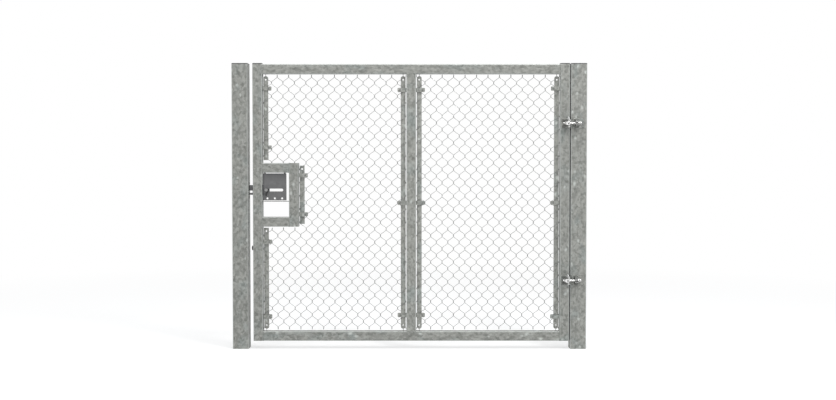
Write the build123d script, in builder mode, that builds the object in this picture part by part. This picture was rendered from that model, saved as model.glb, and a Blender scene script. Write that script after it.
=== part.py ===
from build123d import *
import os
from math import atan2, degrees, hypot

# Sizes are in millimetres. X runs along the fence, Y from front to back, Z up.
# The origin is the centre of the hinge post's foot, at ground level.

# Posts
opening_width = 2000
post_size = 100
post_wall = 4
post_corner = 6
post_height = 1770

# Leaf frame
tube_size = 60
tube_wall = 3
tube_corner = 6
hinge_gap = 6
latch_gap = 29
ground_gap = 50
rail_drop = 2

# Lock box: the tubes that frame the lock
box_window_width = 164
box_window_height = 275
box_bottom_height = 762

# Caps
cap_thickness = 5
cap_bevel = 2
plug_depth = 20
plug_wall = 3
plug_corner = 1
plug_play = 0.3

# Tension bars
bar_width = 30
bar_thickness = 6
bar_gap = 5
bar_end_gap = 13
bar_end_round = 13
bar_gap_above_box = 18
bar_gap_below_box = 8
box_bar_end_gap = 16
bar_hole = 11
bar_hole_inset = 21

# Strap hooks
hook_height = 25
hook_thickness = 4
hook_room = 4
hook_nose = 20
hook_bevel = 3
stile_hook_inset = 76
mullion_hook_inset = 85
box_hook_inset = 60
hook_above_box = 97
hook_below_box = 95

# Chain link mesh
wire = 3
mesh_columns = 24
mesh_rows = 38
mesh_top_gap = 13
mesh_bottom_gap = 17
mesh_tip = 8
mesh_clearance = 0.5
lock_split_column = 6
right_split_column = 12
split_past_crossing = 9

# Lock plate, shelf and guides
plate_width = 145
plate_height = 167
plate_thickness = 5
plate_side_gap = 4
plate_top_gap = 4
plate_corner = 3
plate_bevel = 1.5
tab_width = 10
tab_depth = 12
tab_inset = 6
shelf_thickness = 3
shelf_depth = 42
shelf_gap = 5
plate_hole = 12
plate_hole_inset = 12
plate_hole_pitch = 45.5
guide_thickness = 4
guide_lip = 8
guide_length = 120

# Bolt
bolt_rise = 64
bolt_height = 60
bolt_thickness = 8
bolt_corner = 2
bolt_set_back = 5
guide_play = 0.3
stile_slot_play = 1
bolt_travel = 90
tongue_reach = 19.5
tongue_upper = 34
tongue_lower = 12
tongue_notch_depth = 17
bolt_tail = 18
stem_diameter = 12
stem_inset = 25
stem_play = 1.5
slot_height = 17
slot_spare = 6
knob_diameter = 20
knob_thickness = 14
knob_gap = 5
knob_round = 3

# Keeper
keeper_thickness = 3
keeper_height = 112
keeper_depth = 50
keeper_set_back = 4
keeper_ear_thickness = 6
keeper_ear_gap = 5
keeper_ear_reach = 18

# Rubber buffer
buffer_diameter = 28
buffer_thickness = 9
buffer_round = 3
buffer_height = 628

# Hinges
axis_past_edge = 15
axis_in_front = 40
upper_hinge_drop = 368
lower_hinge_rise = 380
pin_diameter = 12
pin_play = 0.1
pin_head_diameter = 20
pin_head_top = 9
pin_head_height = 15
pin_tail = 6
pin_end_bevel = 1.5
barrel_diameter = 28
barrel_height = 25
barrel_round = 4
barrel_play = 0.3
barrel_end_gap = 0.5
lug_thickness = 12
lug_round = 15
leaf_plate_thickness = 6
leaf_plate_margin = 3
leaf_plate_reach = 36
leaf_plate_edge = 5
leaf_plate_corner = 3
rod_diameter = 16
rod_nut_width = 22
rod_nut_thickness = 10
lock_nut_width = 20
lock_nut_thickness = 8
lock_nut_overlap = 2
stub_diameter = 12
stub_reach = 28
post_lug_distance = 44
post_lug_thickness = 20
post_lug_height = 52
post_lug_side = 44
post_plate_thickness = 6
post_plate_width = 72
post_plate_height = 60
post_plate_corner = 4
post_plate_lead = 14
dome_height = 8
dome_round = 7
dome_inset = 1
washer_thickness = 3
washer_diameter = 28

# Places along X
hinge_post_inner = -post_size / 2
latch_post_inner = hinge_post_inner - opening_width
latch_post_x = latch_post_inner - post_size / 2
leaf_right = hinge_post_inner - hinge_gap
leaf_left = latch_post_inner + latch_gap
hinge_stile_x = leaf_right - tube_size / 2
latch_stile_x = leaf_left + tube_size / 2
mullion_x = (leaf_left + leaf_right) / 2
bay_left = leaf_left + tube_size
bay_right = leaf_right - tube_size
box_side_left = bay_left + box_window_width
box_side_right = box_side_left + tube_size

# Places along Y
post_front = -post_size / 2
leaf_front = post_front
leaf_mid = leaf_front + tube_size / 2

# Places along Z
leaf_bottom = ground_gap
leaf_top = post_height
top_rail_z = leaf_top - rail_drop - tube_size / 2
bottom_rail_z = leaf_bottom + tube_size / 2
frame_low = bottom_rail_z + tube_size / 2
frame_high = top_rail_z - tube_size / 2
box_low = box_bottom_height + tube_size
box_high = box_low + box_window_height
box_top = box_high + tube_size

os.makedirs("parts", exist_ok=True)


def save(piece, label):
    """Label one finished piece and write it as its own file."""
    piece.label = label
    export_step(piece, "parts/" + label + ".step")


def tube_profile(size, wall, corner):
    """Section of a square tube with rounded corners, drawn in the open sketch."""
    RectangleRounded(size, size, corner)
    RectangleRounded(size - 2 * wall, size - 2 * wall, corner - wall, mode=Mode.SUBTRACT)


def hex_nut(start, width, thickness):
    """Hexagonal nut blank on the plane start, added to the open part."""
    with BuildSketch(start) as hexagon:
        RegularPolygon(radius=width / 2, side_count=6, major_radius=False)
    extrude(hexagon.sketch, amount=thickness)


# Posts
for label, x in (("hinge_post", 0), ("latch_post", latch_post_x)):
    with BuildPart() as post:
        with BuildSketch(Plane((x, 0, 0))):
            tube_profile(post_size, post_wall, post_corner)
        extrude(amount=post_height)
    save(post.part, label)

# Leaf frame. The latch stile has a slot in both side walls for the bolt.
plate_front = leaf_front
plate_back = plate_front + plate_thickness
plate_top = box_high - plate_top_gap
plate_bottom = plate_top - plate_height
plate_left = bay_left + plate_side_gap
bolt_front = plate_back + bolt_set_back
bolt_mid = bolt_front + bolt_thickness / 2
bolt_back = bolt_front + bolt_thickness
bolt_z = plate_bottom + bolt_rise

for label, x in (("hinge_stile", hinge_stile_x), ("latch_stile", latch_stile_x)):
    with BuildPart() as stile:
        with BuildSketch(Plane((x, leaf_mid, leaf_bottom))):
            tube_profile(tube_size, tube_wall, tube_corner)
        extrude(amount=leaf_top - leaf_bottom)
        if label == "latch_stile":
            with Locations((x, bolt_mid, bolt_z)):
                Box(tube_size, bolt_thickness + 2 * stile_slot_play, bolt_height + 2 * stile_slot_play,
                    mode=Mode.SUBTRACT)
    save(stile.part, label)

rails = (("top_rail", top_rail_z), ("bottom_rail", bottom_rail_z))
for label, z in rails:
    with BuildPart() as rail:
        with BuildSketch(Plane((bay_left, leaf_mid, z), z_dir=(1, 0, 0))):
            tube_profile(tube_size, tube_wall, tube_corner)
        extrude(amount=bay_right - bay_left)
    save(rail.part, label)

with BuildPart() as mullion:
    with BuildSketch(Plane((mullion_x, leaf_mid, frame_low))):
        tube_profile(tube_size, tube_wall, tube_corner)
    extrude(amount=frame_high - frame_low)
save(mullion.part, "mullion")

# Lock box frame
for label, z in (("lock_box_top", box_high + tube_size / 2), ("lock_box_bottom", box_low - tube_size / 2)):
    with BuildPart() as member:
        with BuildSketch(Plane((bay_left, leaf_mid, z), z_dir=(1, 0, 0))):
            tube_profile(tube_size, tube_wall, tube_corner)
        extrude(amount=box_window_width)
    save(member.part, label)

with BuildPart() as box_side:
    with BuildSketch(Plane((box_side_left + tube_size / 2, leaf_mid, box_bottom_height))):
        tube_profile(tube_size, tube_wall, tube_corner)
    extrude(amount=box_top - box_bottom_height)
save(box_side.part, "lock_box_side")


def tube_cap(x, y, z, size, wall, corner):
    """Push-in cap: a bevelled lid the size of the tube over a hollow plug inside it."""
    plug = size - 2 * wall - 2 * plug_play
    with BuildPart() as cap:
        with BuildSketch(Plane((x, y, z))):
            RectangleRounded(size, size, corner)
        extrude(amount=cap_thickness)
        chamfer(cap.faces().sort_by(Axis.Z)[-1].edges(), cap_bevel)
        with BuildSketch(Plane((x, y, z))):
            RectangleRounded(plug, plug, corner - wall)
            RectangleRounded(plug - 2 * plug_wall, plug - 2 * plug_wall, plug_corner, mode=Mode.SUBTRACT)
        extrude(amount=-plug_depth)
    return cap.part


save(tube_cap(0, 0, post_height, post_size, post_wall, post_corner), "hinge_post_cap")
save(tube_cap(latch_post_x, 0, post_height, post_size, post_wall, post_corner), "latch_post_cap")
save(tube_cap(hinge_stile_x, leaf_mid, leaf_top, tube_size, tube_wall, tube_corner), "hinge_stile_cap")
save(tube_cap(latch_stile_x, leaf_mid, leaf_top, tube_size, tube_wall, tube_corner), "latch_stile_cap")

# Tension bars and hooks. A row of the list is one bar: the face of the tube that carries it,
# the side it stands on (1 is towards +X), its ends, and the heights of its hooks.
full_low = frame_low + bar_end_gap
full_high = frame_high - bar_end_gap
full_mid = (full_low + full_high) / 2
above_low = box_top + bar_gap_above_box
below_high = box_bottom_height - bar_gap_below_box
box_bar_low = box_bottom_height + box_bar_end_gap
box_bar_high = box_top - box_bar_end_gap
stile_hook_high = full_high - stile_hook_inset
stile_hook_low = full_low + stile_hook_inset
mullion_hooks = (full_high - mullion_hook_inset, full_mid, full_low + mullion_hook_inset)
mullion_left = mullion_x - tube_size / 2
mullion_right = mullion_x + tube_size / 2
bars = (
    ("tension_bar_above_lock", bay_left, 1, above_low, full_high,
     (stile_hook_high, box_top + hook_above_box)),
    ("tension_bar_below_lock", bay_left, 1, full_low, below_high,
     (box_bottom_height - hook_below_box, stile_hook_low)),
    ("tension_bar_lock_box", box_side_right, 1, box_bar_low, box_bar_high,
     (box_bar_high - box_hook_inset, box_bar_low + box_hook_inset)),
    ("tension_bar_mullion_left", mullion_left, -1, full_low, full_high, mullion_hooks),
    ("tension_bar_mullion_right", mullion_right, 1, full_low, full_high, mullion_hooks),
    ("tension_bar_hinge_side", bay_right, -1, full_low, full_high,
     (stile_hook_high, full_mid, stile_hook_low)),
)

# A bar is rounded at the rails and cut square at the lock box, where a lower end isn't drilled.
for label, face, side, low, high, hooks in bars:
    x = face + side * (bar_gap + bar_width / 2)
    holes = [(x, high - bar_hole_inset)]
    if label not in ("tension_bar_above_lock", "tension_bar_lock_box"):
        holes.append((x, low + bar_hole_inset))
    with BuildPart() as bar:
        with BuildSketch(Plane.XZ.offset(-leaf_mid)) as blank:
            with Locations((x, (low + high) / 2)):
                Rectangle(bar_width, high - low)
            if high == full_high:
                fillet(blank.vertices().group_by(Axis.Y)[-1], bar_end_round)
            if low == full_low:
                fillet(blank.vertices().group_by(Axis.Y)[0], bar_end_round)
            with Locations(*holes):
                Circle(bar_hole / 2, mode=Mode.SUBTRACT)
        extrude(amount=bar_thickness / 2, both=True)
    save(bar.part, label)

hook_length = bar_gap + bar_width + hook_nose
hook_inner = bar_thickness / 2 + hook_room
hook_outer = hook_inner + hook_thickness


def strap_hook(face, side, z):
    """U-shaped strap round a tension bar, added to the open part, its ends on the tube's face."""
    nose = face + side * (hook_length - hook_outer)
    middle = (face + nose) / 2
    with BuildSketch(Plane.XY.offset(z)) as loop:
        with Locations((middle, leaf_mid)):
            Rectangle(abs(nose - face), 2 * hook_outer)
        with Locations((nose, leaf_mid)):
            Circle(hook_outer)
        with Locations((middle, leaf_mid)):
            Rectangle(abs(nose - face), 2 * hook_inner, mode=Mode.SUBTRACT)
        with Locations((nose, leaf_mid)):
            Circle(hook_inner, mode=Mode.SUBTRACT)
    extrude(loop.sketch, amount=hook_height / 2, both=True)
    tip = face + side * hook_length
    for end in (1, -1):
        corner = z + end * hook_height / 2
        back = tip - side * hook_bevel
        with BuildSketch(Plane.XZ.offset(-leaf_mid)) as bevel:
            with BuildLine():
                Polyline((tip, corner), (back, corner), (tip, corner - end * hook_bevel), close=True)
            make_face()
        extrude(bevel.sketch, amount=hook_outer, both=True, mode=Mode.SUBTRACT)


hook_sets = {
    "latch_stile_hooks": bars[0:2],
    "lock_box_hooks": bars[2:3],
    "mullion_hooks": bars[3:5],
    "hinge_stile_hooks": bars[5:6],
}
for label, carried in hook_sets.items():
    with BuildPart() as hook_set:
        for bar_label, face, side, low, high, hooks in carried:
            for z in hooks:
                strap_hook(face, side, z)
    save(hook_set.part, label)

# Chain link mesh. Each panel is two layers of straight wires, one leaning each way,
# that are fused where they cross. The wires end on the edges of the tension bars.
mesh_high = frame_high - mesh_top_gap
mesh_low = frame_low + mesh_bottom_gap
half_row = (mesh_high - mesh_low) / mesh_rows
bar_centre = bar_gap + bar_width / 2
bar_edge = bar_gap + bar_width


def mesh_panel(label, bay_start, bay_end, cells, cuts):
    """One panel of mesh inside the rectangles cells, less the rectangles cuts, as (x0, x1, z0, z1)."""
    first = bay_start + bar_centre
    half_column = (bay_end - bay_start - 2 * bar_centre) / mesh_columns
    lean = degrees(atan2(half_row, half_column))
    middle_row = mesh_rows // 2
    reach = mesh_columns + mesh_rows
    length = reach * hypot(half_column, half_row)
    crossings = [
        (first + column * half_column, mesh_high - middle_row * half_row)
        for column in range(-middle_row, mesh_columns + middle_row + 1)
        if (column + middle_row) % 2 == 0
    ]
    with BuildPart() as panel:
        for back, angle in ((0, lean), (wire, -lean)):
            with BuildSketch(Plane.XZ.offset(-leaf_mid - back)):
                with Locations(*crossings):
                    Rectangle(length, wire, rotation=angle)
                with BuildSketch(mode=Mode.PRIVATE) as window:
                    for x0, x1, z0, z1 in cells:
                        with Locations(((x0 + x1) / 2, (z0 + z1) / 2)):
                            Rectangle(x1 - x0, z1 - z0)
                    for x0, x1, z0, z1 in cuts:
                        with Locations(((x0 + x1) / 2, (z0 + z1) / 2)):
                            Rectangle(x1 - x0, z1 - z0, mode=Mode.SUBTRACT)
                add(window.sketch, mode=Mode.INTERSECT)
            extrude(amount=wire)
    whole = panel.part.solids().sort_by(SortBy.VOLUME)[-1]
    save(whole, label)


def hook_cuts(carried):
    """Rectangles that keep the wires clear of the strap hooks of these bars."""
    cuts = []
    half = hook_height / 2 + mesh_clearance
    for bar_label, face, side, low, high, hooks in carried:
        near = face + side * bar_edge
        far = face + side * (hook_length + mesh_clearance)
        for z in hooks:
            cuts.append((min(near, far), max(near, far), z - half, z + half))
    return cuts


tips_high = mesh_high + mesh_tip
tips_low = mesh_low - mesh_tip
left_edge = bay_left + bar_edge
left_end = mullion_left - bar_edge
right_edge = mullion_right + bar_edge
right_end = bay_right - bar_edge
left_column = (mullion_left - bay_left - 2 * bar_centre) / mesh_columns
right_column = (bay_right - mullion_right - 2 * bar_centre) / mesh_columns
lock_split = bay_left + bar_centre + lock_split_column * left_column + split_past_crossing
right_split = mullion_right + bar_centre + right_split_column * right_column + split_past_crossing
box_bar_edge = box_side_right + bar_edge

mesh_panel("mesh_above_lock", bay_left, mullion_left,
           [(left_edge, lock_split, box_top, tips_high)], hook_cuts(bars[0:1]))
mesh_panel("mesh_below_lock", bay_left, mullion_left,
           [(left_edge, lock_split, tips_low, box_bottom_height)], hook_cuts(bars[1:2]))
mesh_panel("mesh_left_bay", bay_left, mullion_left, [(lock_split, left_end, tips_low, tips_high)],
           [(box_side_right, box_bar_edge, box_bottom_height, box_top)] + hook_cuts(bars[2:4]))
mesh_panel("mesh_right_bay_inner", mullion_right, bay_right,
           [(right_edge, right_split, tips_low, tips_high)], hook_cuts(bars[4:5]))
mesh_panel("mesh_right_bay_outer", mullion_right, bay_right,
           [(right_split, right_end, tips_low, tips_high)], hook_cuts(bars[5:6]))

# Lock plate, hung by two tabs from the box above
stem_x = bay_left + stem_inset
slot_start = stem_x - stem_diameter / 2 - stem_play
slot_end = stem_x + bolt_travel + stem_diameter / 2 + stem_play + slot_spare
plate_mid_x = plate_left + plate_width / 2
plate_mid_z = (plate_top + plate_bottom) / 2
shelf_top = plate_bottom - shelf_gap
tab_places = (plate_left + tab_inset, plate_left + plate_width - tab_inset - tab_width)

with BuildPart() as lock_plate:
    with BuildSketch(Plane.XZ.offset(-plate_back)):
        with Locations((plate_mid_x, plate_mid_z)):
            RectangleRounded(plate_width, plate_height, plate_corner)
        with Locations(((slot_start + slot_end) / 2, bolt_z)):
            SlotOverall(slot_end - slot_start, slot_height, mode=Mode.SUBTRACT)
        with Locations((plate_mid_x, plate_bottom + plate_hole_inset)):
            with GridLocations(plate_hole_pitch, 0, 3, 1):
                Circle(plate_hole / 2, mode=Mode.SUBTRACT)
    extrude(amount=plate_thickness)
    chamfer(lock_plate.faces().sort_by(Axis.Y)[0].outer_wire().edges(), plate_bevel)
    tab_low = plate_top - tab_width
    for x in tab_places:
        with BuildSketch(Plane.XZ.offset(-plate_front - tab_depth)):
            with Locations((x + tab_width / 2, (tab_low + box_high) / 2)):
                Rectangle(tab_width, box_high - tab_low)
        extrude(amount=tab_depth - plate_bevel)
save(lock_plate.part, "lock_plate")

with BuildPart() as shelf:
    with BuildSketch(Plane.XY.offset(shelf_top - shelf_thickness)):
        with Locations(((bay_left + box_side_left) / 2, plate_front + shelf_depth / 2)):
            Rectangle(box_window_width, shelf_depth)
    extrude(amount=shelf_thickness)
save(shelf.part, "lock_shelf")

# Guides: two lipped rails on the back of the lock plate that carry the bolt's edges
guide_start = plate_left
with BuildPart() as guides:
    for end in (1, -1):
        edge = bolt_z + end * (bolt_height / 2 + guide_play)
        lip_front = bolt_back + guide_play
        lip_back = lip_front + guide_thickness
        with BuildSketch(Plane((guide_start, 0, 0), x_dir=(0, 1, 0), z_dir=(1, 0, 0))):
            with BuildLine():
                Polyline(
                    (plate_back, edge),
                    (plate_back, edge + end * guide_thickness),
                    (lip_back, edge + end * guide_thickness),
                    (lip_back, edge - end * guide_lip),
                    (lip_front, edge - end * guide_lip),
                    (lip_front, edge),
                    close=True,
                )
            make_face()
        extrude(amount=guide_length)
save(guides.part, "bolt_guides")

# Bolt bar, thrown across the gap. Its tongue is forked, and stops short of the keeper.
tongue_tip = leaf_left - tongue_reach
bolt_end = stem_x + bolt_tail
bolt_low = bolt_z - bolt_height / 2
bolt_high = bolt_z + bolt_height / 2
notch_low = bolt_low + tongue_lower
notch_high = bolt_high - tongue_upper


def fork(start, length, notch_depth):
    """Outline of a plate with an open notch in its -X end, drawn in the open sketch."""
    with Locations((start + length / 2, bolt_z)):
        RectangleRounded(length, bolt_height, bolt_corner)
    with Locations((start + notch_depth / 2, (notch_low + notch_high) / 2)):
        Rectangle(notch_depth, notch_high - notch_low, mode=Mode.SUBTRACT)


with BuildPart() as bolt_bar:
    with BuildSketch(Plane.XZ.offset(-bolt_back)):
        fork(tongue_tip, bolt_end - tongue_tip, tongue_notch_depth)
    extrude(amount=bolt_thickness)
save(bolt_bar.part, "bolt_bar")

knob_back = plate_front - knob_gap
knob_front = knob_back - knob_thickness
with BuildPart() as bolt_knob:
    with BuildSketch(Plane((stem_x, bolt_front, bolt_z), z_dir=(0, -1, 0))):
        Circle(stem_diameter / 2)
    extrude(amount=bolt_front - knob_back)
    with BuildSketch(Plane((stem_x, knob_back, bolt_z), z_dir=(0, -1, 0))):
        Circle(knob_diameter / 2)
    extrude(amount=knob_thickness)
    fillet(bolt_knob.faces().sort_by(Axis.Y)[0].edges(), knob_round)
save(bolt_knob.part, "bolt_knob")

# Keeper: a flange on the post's inner side, with a notched ear behind the tongue
ear_front = bolt_back + keeper_ear_gap
flange_face = latch_post_inner + keeper_thickness
with BuildPart() as keeper:
    flange_mid = leaf_front + keeper_set_back + keeper_depth / 2
    with Locations(((latch_post_inner + flange_face) / 2, flange_mid, bolt_z)):
        Box(keeper_thickness, keeper_depth, keeper_height)
    with BuildSketch(Plane.XZ.offset(-ear_front - keeper_ear_thickness)):
        with Locations((flange_face + keeper_ear_reach / 2, bolt_z)):
            Rectangle(keeper_ear_reach, bolt_height)
        with Locations((flange_face + keeper_ear_reach / 2, (notch_low + notch_high) / 2)):
            Rectangle(keeper_ear_reach, notch_high - notch_low, mode=Mode.SUBTRACT)
    extrude(amount=keeper_ear_thickness)
save(keeper.part, "keeper")

# Rubber buffer on the latch stile's outer side
with BuildPart() as buffer:
    with BuildSketch(Plane((leaf_left, leaf_mid, buffer_height), z_dir=(-1, 0, 0))):
        Circle(buffer_diameter / 2)
    extrude(amount=buffer_thickness)
    fillet(buffer.faces().sort_by(Axis.X)[0].edges(), buffer_round)
save(buffer.part, "rubber_buffer")

# Hinges. The barrel on the post's rod turns on the pin in the leaf's bracket.
axis_x = leaf_right - axis_past_edge
axis_y = leaf_front - axis_in_front
lug_inner = barrel_height / 2 + barrel_end_gap
lug_outer = lug_inner + lug_thickness
leaf_plate_height = 2 * (lug_outer + leaf_plate_margin)
plate_face_y = leaf_front - leaf_plate_thickness
post_lug_left = axis_x + post_lug_distance
post_lug_right = post_lug_left + post_lug_thickness


def leaf_bracket(z):
    """Plate on the leaf's front face with two lugs that hold the pin."""
    with BuildPart() as bracket:
        with BuildSketch(Plane.XZ.offset(-leaf_front)):
            with Locations((axis_x + (leaf_plate_edge - leaf_plate_reach) / 2, z)):
                RectangleRounded(leaf_plate_reach + leaf_plate_edge, leaf_plate_height, leaf_plate_corner)
        extrude(amount=leaf_plate_thickness)
        for low in (lug_inner, -lug_outer):
            with BuildSketch(Plane.XY.offset(z + low)):
                with BuildLine():
                    Polyline(
                        (axis_x - leaf_plate_reach, plate_face_y),
                        (axis_x + leaf_plate_edge, plate_face_y),
                        (axis_x + lug_round, axis_y),
                        (axis_x - lug_round, axis_y),
                        close=True,
                    )
                make_face()
                with Locations((axis_x, axis_y)):
                    Circle(lug_round)
                    Circle(pin_diameter / 2 + pin_play, mode=Mode.SUBTRACT)
            extrude(amount=lug_thickness)
    return bracket.part


def hinge_pin(z):
    """Pin with a tapered head above the upper lug and a tail below the lower one."""
    with BuildPart() as pin:
        with BuildSketch(Plane((axis_x, axis_y, z - lug_outer - pin_tail))):
            Circle(pin_diameter / 2)
        extrude(amount=2 * lug_outer + pin_tail)
        with BuildSketch(Plane((axis_x, axis_y, z + lug_outer))):
            Circle(pin_head_diameter / 2)
        with BuildSketch(Plane((axis_x, axis_y, z + lug_outer + pin_head_height))):
            Circle(pin_head_top / 2)
        loft()
        chamfer(pin.faces().sort_by(Axis.Z)[0].edges(), pin_end_bevel)
    return pin.part


def hinge_rod(z):
    """Rod with the swivel barrel and its lock nut, laid in the post's lug and held by a nut."""
    nut_end = post_lug_right + washer_thickness + rod_nut_thickness
    with BuildPart() as rod:
        with BuildSketch(Plane((axis_x, axis_y, z))):
            Circle(barrel_diameter / 2)
        extrude(amount=barrel_height / 2, both=True)
        fillet(rod.edges(), barrel_round)
        with BuildSketch(Plane((axis_x, axis_y, z), z_dir=(1, 0, 0))):
            Circle(rod_diameter / 2)
        extrude(amount=nut_end - axis_x)
        with BuildSketch(Plane((axis_x, axis_y, z), z_dir=(-1, 0, 0))):
            Circle(stub_diameter / 2)
        extrude(amount=stub_reach)
        lock_nut_x = axis_x - barrel_diameter / 2 + lock_nut_overlap
        hex_nut(Plane((lock_nut_x, axis_y, z), z_dir=(-1, 0, 0)), lock_nut_width,
                lock_nut_thickness + lock_nut_overlap)
        with BuildSketch(Plane((post_lug_right, axis_y, z), z_dir=(1, 0, 0))):
            Circle(washer_diameter / 2)
        extrude(amount=washer_thickness)
        hex_nut(Plane((post_lug_right + washer_thickness, axis_y, z), z_dir=(1, 0, 0)), rod_nut_width,
                rod_nut_thickness)
        with BuildSketch(Plane((nut_end, axis_y, z), z_dir=(1, 0, 0))):
            Circle(rod_nut_width / 2 - dome_inset)
        extrude(amount=dome_height)
        fillet(rod.faces().sort_by(Axis.X)[-1].edges(), dome_round)
        with BuildSketch(Plane((axis_x, axis_y, z))):
            Circle(pin_diameter / 2 + barrel_play)
        extrude(amount=barrel_height, both=True, mode=Mode.SUBTRACT)
    return rod.part


def post_bracket(z):
    """Plate on the post's front face with one upright lug, open in front where the rod lies in it."""
    plate_start = post_lug_left - post_plate_lead
    with BuildPart() as bracket:
        with BuildSketch(Plane.XZ.offset(-post_front)):
            with Locations((plate_start + post_plate_width / 2, z)):
                RectangleRounded(post_plate_width, post_plate_height, post_plate_corner)
        extrude(amount=post_plate_thickness)
        with BuildSketch(Plane((post_lug_left, 0, z), x_dir=(0, 1, 0), z_dir=(1, 0, 0))):
            with Locations(((axis_y + post_front) / 2, 0)):
                Rectangle(post_front - axis_y, post_lug_height)
            with Locations((axis_y, 0)):
                SlotOverall(post_lug_height, post_lug_side, rotation=90)
                Circle(rod_diameter / 2, mode=Mode.SUBTRACT)
            with Locations((axis_y - post_lug_side / 4, 0)):
                Rectangle(post_lug_side / 2, rod_diameter, mode=Mode.SUBTRACT)
        extrude(amount=post_lug_thickness)
    return bracket.part


hinge_places = {"upper": leaf_top - upper_hinge_drop, "lower": leaf_bottom + lower_hinge_rise}
for place, z in hinge_places.items():
    save(leaf_bracket(z), place + "_hinge_leaf_bracket")
    save(hinge_pin(z), place + "_hinge_pin")
    save(hinge_rod(z), place + "_hinge_rod")
    save(post_bracket(z), place + "_hinge_post_bracket")
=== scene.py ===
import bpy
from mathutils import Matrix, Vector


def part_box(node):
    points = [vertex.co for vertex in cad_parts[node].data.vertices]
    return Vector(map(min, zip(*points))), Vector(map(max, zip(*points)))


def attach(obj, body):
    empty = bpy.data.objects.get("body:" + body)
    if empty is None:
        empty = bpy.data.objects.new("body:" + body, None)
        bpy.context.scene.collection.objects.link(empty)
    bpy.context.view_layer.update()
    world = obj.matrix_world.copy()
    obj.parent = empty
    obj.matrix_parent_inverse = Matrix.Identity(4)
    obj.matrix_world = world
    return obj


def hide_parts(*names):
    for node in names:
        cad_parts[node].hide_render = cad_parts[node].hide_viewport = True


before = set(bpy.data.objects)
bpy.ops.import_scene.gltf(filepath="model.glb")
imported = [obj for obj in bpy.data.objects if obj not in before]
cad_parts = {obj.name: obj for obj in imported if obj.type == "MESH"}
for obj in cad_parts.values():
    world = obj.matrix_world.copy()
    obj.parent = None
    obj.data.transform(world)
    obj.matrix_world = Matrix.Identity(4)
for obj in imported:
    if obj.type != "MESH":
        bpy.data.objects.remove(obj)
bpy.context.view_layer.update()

from functools import partial
from math import pi, radians

import bpy
from mathutils import Vector

# Studio. The gate stands on a white floor that runs out into a white backdrop. Even light comes
# from all round, with a long lamp overhead in front, a smaller one high on the right and a weak
# one on the left. The camera looks square on, a little above the gate's middle.
scene = bpy.context.scene
scene.view_settings.view_transform = "Standard"


def fresh_tree(owner):
    """Empty node tree of a material or a world."""
    owner.use_nodes = True
    owner.node_tree.nodes.clear()
    return owner.node_tree


def add_node(tree, kind, feeds=None, **settings):
    """Adds a node, each input fed by a socket or given a value, and returns the node's outputs."""
    node = tree.nodes.new(kind)
    for name, value in settings.items():
        setattr(node, name, value)
    for key, value in (feeds or {}).items():
        if isinstance(value, bpy.types.NodeSocket):
            tree.links.new(value, node.inputs[key])
        else:
            node.inputs[key].default_value = value
    return node.outputs


def calc(tree, operation, *values):
    """Result of one Math node on these sockets or numbers."""
    return add_node(tree, "ShaderNodeMath", dict(enumerate(values)), operation=operation)[0]


def mixed(tree, share, low, high):
    """Colour between two, each a socket or its red, green and blue."""
    low, high = ((*end, 1) if isinstance(end, tuple) else end for end in (low, high))
    return add_node(tree, "ShaderNodeMix", {0: share, 6: low, 7: high}, data_type="RGBA")[2]


def ranged(tree, value, start, end, low, high):
    """A value brought from one span to another, and held inside it."""
    feeds = {"Value": value, "From Min": start, "From Max": end, "To Min": low, "To Max": high}
    return add_node(tree, "ShaderNodeMapRange", feeds)[0]


def seen_directly(tree):
    """1 for the rays that show a background: camera rays, reflections and what glass lets through."""
    path = add_node(tree, "ShaderNodeLightPath")
    seen = calc(tree, "MAXIMUM", path["Is Camera Ray"], path["Is Glossy Ray"])
    return calc(tree, "MAXIMUM", seen, path["Is Transmission Ray"])


def lamp(name, place, aim, width, depth, power):
    """Oblong area lamp that shines at a point."""
    light = bpy.data.lights.new(name, "AREA")
    light.shape = "RECTANGLE"
    light.size = width
    light.size_y = depth
    light.energy = power
    holder = bpy.data.objects.new(name, light)
    holder.location = place
    holder.rotation_euler = (Vector(aim) - Vector(place)).to_track_quat("-Z", "Y").to_euler()
    scene.collection.objects.link(holder)


studio = bpy.data.worlds.new("white_studio")
scene.world = studio
tree = fresh_tree(studio)
even_light = add_node(tree, "ShaderNodeBackground", {"Color": (0.63, 0.64, 0.65, 1), "Strength": 1.0})[0]
backdrop = add_node(tree, "ShaderNodeBackground", {"Color": (1, 1, 1, 1), "Strength": 1.0})[0]
all_round = add_node(tree, "ShaderNodeMixShader", {0: seen_directly(tree), 1: even_light, 2: backdrop})[0]
add_node(tree, "ShaderNodeOutputWorld", {"Surface": all_round})

gate_x = -1.05
lamp("overhead_lamp", (gate_x, -1.5, 4.6), (gate_x, -0.1, 0.9), 5.5, 2.2, 74)
lamp("left_lamp", (-5.5, -4.5, 3.0), (-1.0, 0, 0.9), 2.2, 2.2, 24)
lamp("key_lamp", (1.3, -3.6, 5.4), (-1.0, 0, 0.9), 1.2, 1.2, 100)

floor_left, floor_right, floor_reach = -15.0, 13.0, 14.0
floor_tone, floor_seen_tone, floor_seen_glow = 0.86, 0.56, 0.53
fade_start, fade_end = 2.2, 6.0
floor_mesh = bpy.data.meshes.new("floor")
floor_mesh.from_pydata([(floor_left, -floor_reach, 0), (floor_right, -floor_reach, 0),
                        (floor_right, floor_reach, 0), (floor_left, floor_reach, 0)], [], [(0, 1, 2, 3)])
floor = bpy.data.objects.new("floor", floor_mesh)
scene.collection.objects.link(floor)
pale = bpy.data.materials.new("white_floor")
floor_mesh.materials.append(pale)
tree = fresh_tree(pale)
on_floor = add_node(tree, "ShaderNodeTexCoord")["Object"]
from_gate = add_node(tree, "ShaderNodeVectorMath", {0: on_floor, 1: (-gate_x, 0, 0)}, operation="ADD")[0]
distance = add_node(tree, "ShaderNodeVectorMath", {0: from_gate}, operation="LENGTH")["Value"]
seen = seen_directly(tree)
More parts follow.
